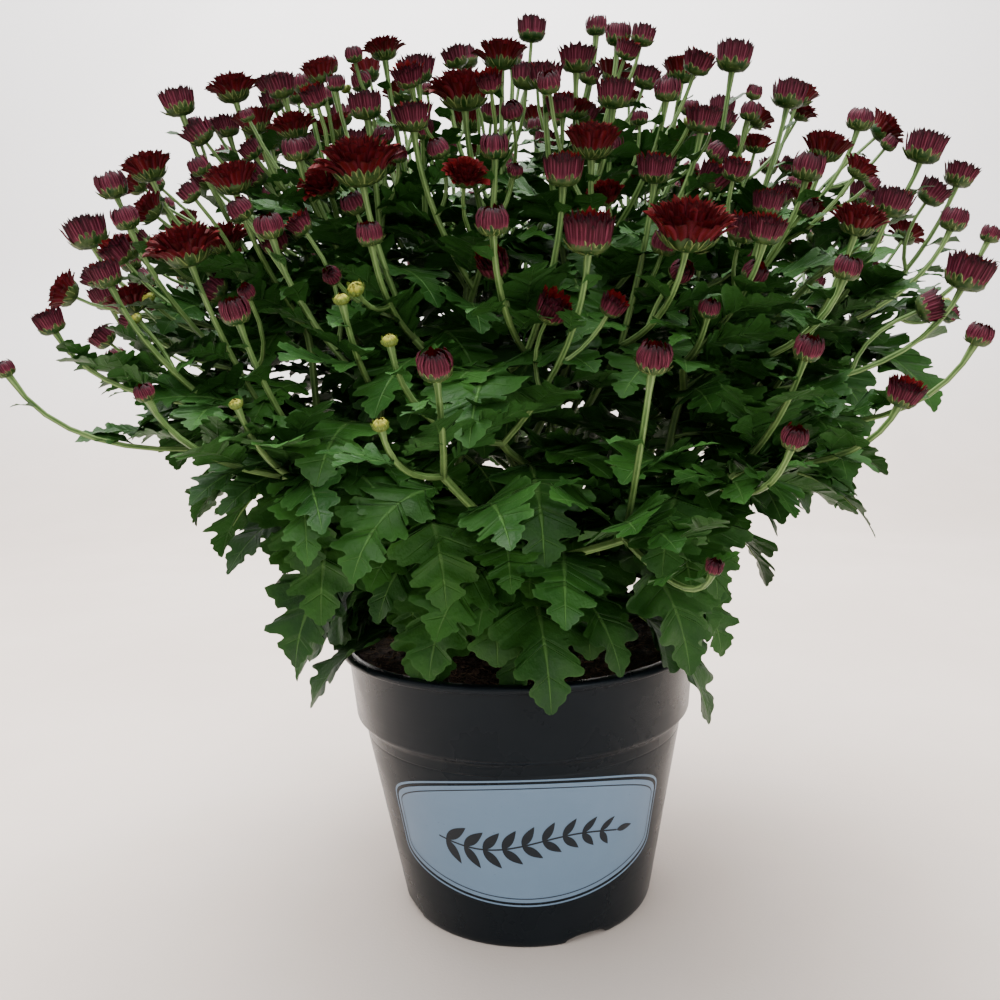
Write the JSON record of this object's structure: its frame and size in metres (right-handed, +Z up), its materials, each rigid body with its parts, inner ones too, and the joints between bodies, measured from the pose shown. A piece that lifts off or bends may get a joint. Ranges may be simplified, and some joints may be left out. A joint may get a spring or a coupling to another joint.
{
  "type": "pot chrysanthemum",
  "caption": "Bushy flowering pot plant: a tapered nursery pot of soil with branching leafy stems that carry a dome of small daisy-like buds and double blooms.",
  "frame": {"origin": "middle of the pot's foot, on the surface it stands on", "axes": "+Z up along the pot's axis; -Y is the side seen in the front view, +X to its right"},
  "size_m": [0.4456, 0.4291, 0.4469],
  "materials": {
    "pot_plastic": "satin",
    "soil": "matte",
    "foliage": "satin",
    "petals": "satin"
  },
  "bodies": {
    "root": {"bloom_1": "petals", "bloom_10": "petals", "bloom_11": "petals", "bloom_12": "petals", "bloom_13": "petals", "bloom_14": "petals", "bloom_15": "petals", "bloom_16": "petals", "bloom_17": "petals", "bloom_18": "petals", "bloom_19": "petals", "bloom_2": "petals", "bloom_20": "petals", "bloom_21": "petals", "bloom_22": "petals", "bloom_23": "petals", "bloom_24": "petals", "bloom_25": "petals", "bloom_26": "petals", "bloom_27": "petals", "bloom_28": "petals", "bloom_29": "petals", "bloom_3": "petals", "bloom_30": "petals", "bloom_31": "petals", "bloom_32": "petals", "bloom_33": "petals", "bloom_4": "petals", "bloom_5": "petals", "bloom_6": "petals", "bloom_7": "petals", "bloom_8": "petals", "bloom_9": "petals", "leafy_shoot_1": "foliage", "leafy_shoot_10": "foliage", "leafy_shoot_11": "foliage", "leafy_shoot_12": "foliage", "leafy_shoot_13": "foliage", "leafy_shoot_14": "foliage", "leafy_shoot_2": "foliage", "leafy_shoot_3": "foliage", "leafy_shoot_4": "foliage", "leafy_shoot_5": "foliage", "leafy_shoot_6": "foliage", "leafy_shoot_7": "foliage", "leafy_shoot_8": "foliage", "leafy_shoot_9": "foliage", "pot": "pot_plastic", "soil": "soil"}
  },
  "joints": []
}
